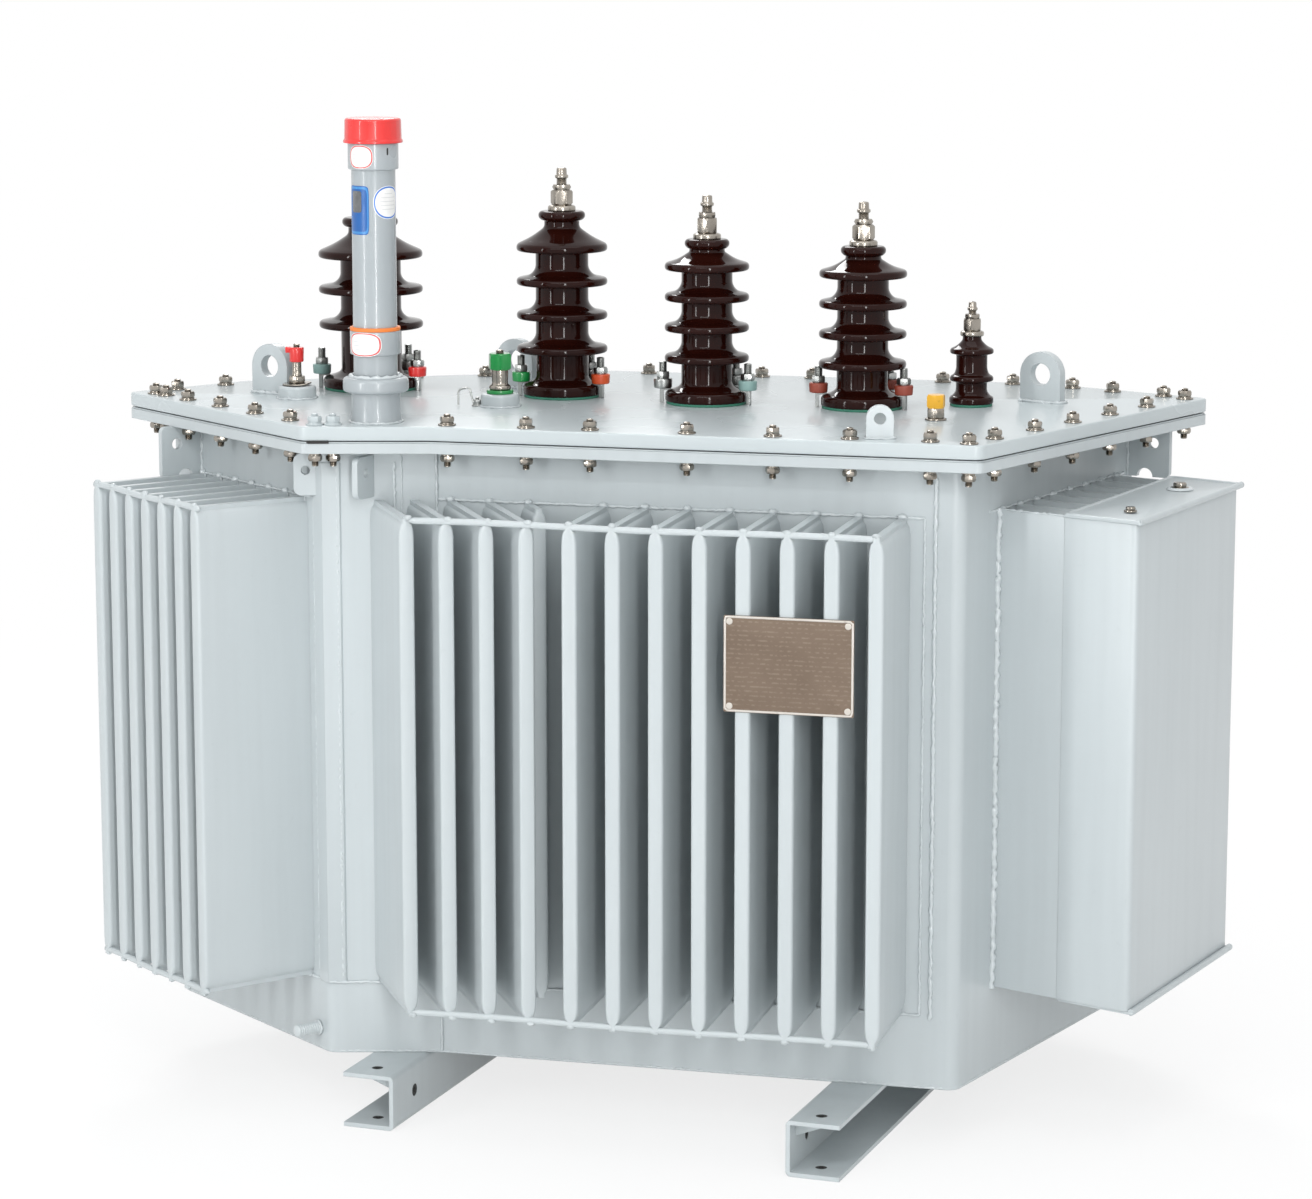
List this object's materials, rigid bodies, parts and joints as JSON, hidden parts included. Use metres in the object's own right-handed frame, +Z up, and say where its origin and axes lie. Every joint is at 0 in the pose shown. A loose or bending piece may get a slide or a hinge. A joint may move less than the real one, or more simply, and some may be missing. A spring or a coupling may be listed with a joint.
{
  "type": "distribution transformer",
  "caption": "Oil-filled electrical transformer with a many-sided finned tank, bolted lid, ribbed porcelain bushings, a capped gauge tube, lifting lugs and channel skids.",
  "frame": {"origin": "on the floor, at the centre of the rectangle of the four skid bolts", "axes": "+Z up, Y along the skids with -Y towards the long finned front wall, +X towards the side with the closed oil box; the tank is turned 5.5 degrees on its skids"},
  "size_m": [1.7786, 1.1653, 1.57],
  "materials": {
    "tank_paint": "blue-grey semi-gloss paint, chalky and scuffed, with run marks at the welds",
    "lid_paint": "blue-grey gloss paint that mirrors what stands on it",
    "gasket_rubber": "black cork-rubber seal, matt",
    "green_rubber": "green seal rubber, matt",
    "porcelain": "glazed porcelain, dark red-brown, high gloss",
    "terminal_bronze": "dull bronze and tinned brass, turned",
    "zinc": "zinc-plated steel, slightly dulled",
    "tube_steel": "grey painted tube, satin",
    "cap_red": "moulded red cap, worn gloss",
    "cap_plastic": "moulded caps, red, green and amber",
    "etched_plate": "bare bronze-brown plate with a paler raised border"
  },
  "bodies": {
    "root": {"back_left_radiator": "tank_paint", "back_left_tie_bars": "tank_paint", "back_radiator": "tank_paint", "back_tie_bars": "tank_paint", "bushing_clamps": "zinc", "bushing_gaskets": "green_rubber", "bushing_terminals": "terminal_bronze", "bushings": "porcelain", "corner_lugs": "tank_paint", "drain_stub": "zinc", "fitting_caps": "cap_plastic", "front_radiator": "tank_paint", "front_skew_radiator": "tank_paint", "front_tie_bars": "tank_paint", "gauge_cap": "cap_red", "gauge_tube": "tube_steel", "left_radiator": "tank_paint", "left_tie_bars": "tank_paint", "lid": "lid_paint", "lid_bosses": "tank_paint", "lid_fittings": "terminal_bronze", "lid_gasket": "gasket_rubber", "lid_lugs": "tank_paint", "rating_plate": "etched_plate", "right_box_covers": "tank_paint", "right_box_plugs": "terminal_bronze", "right_oil_box": "tank_paint", "right_radiator": "tank_paint", "skid_left": "tank_paint", "skid_right": "tank_paint", "tank_flange": "tank_paint", "tank_floor": "tank_paint", "tank_lugs": "tank_paint", "tank_wall": "tank_paint"}
  },
  "joints": []
}
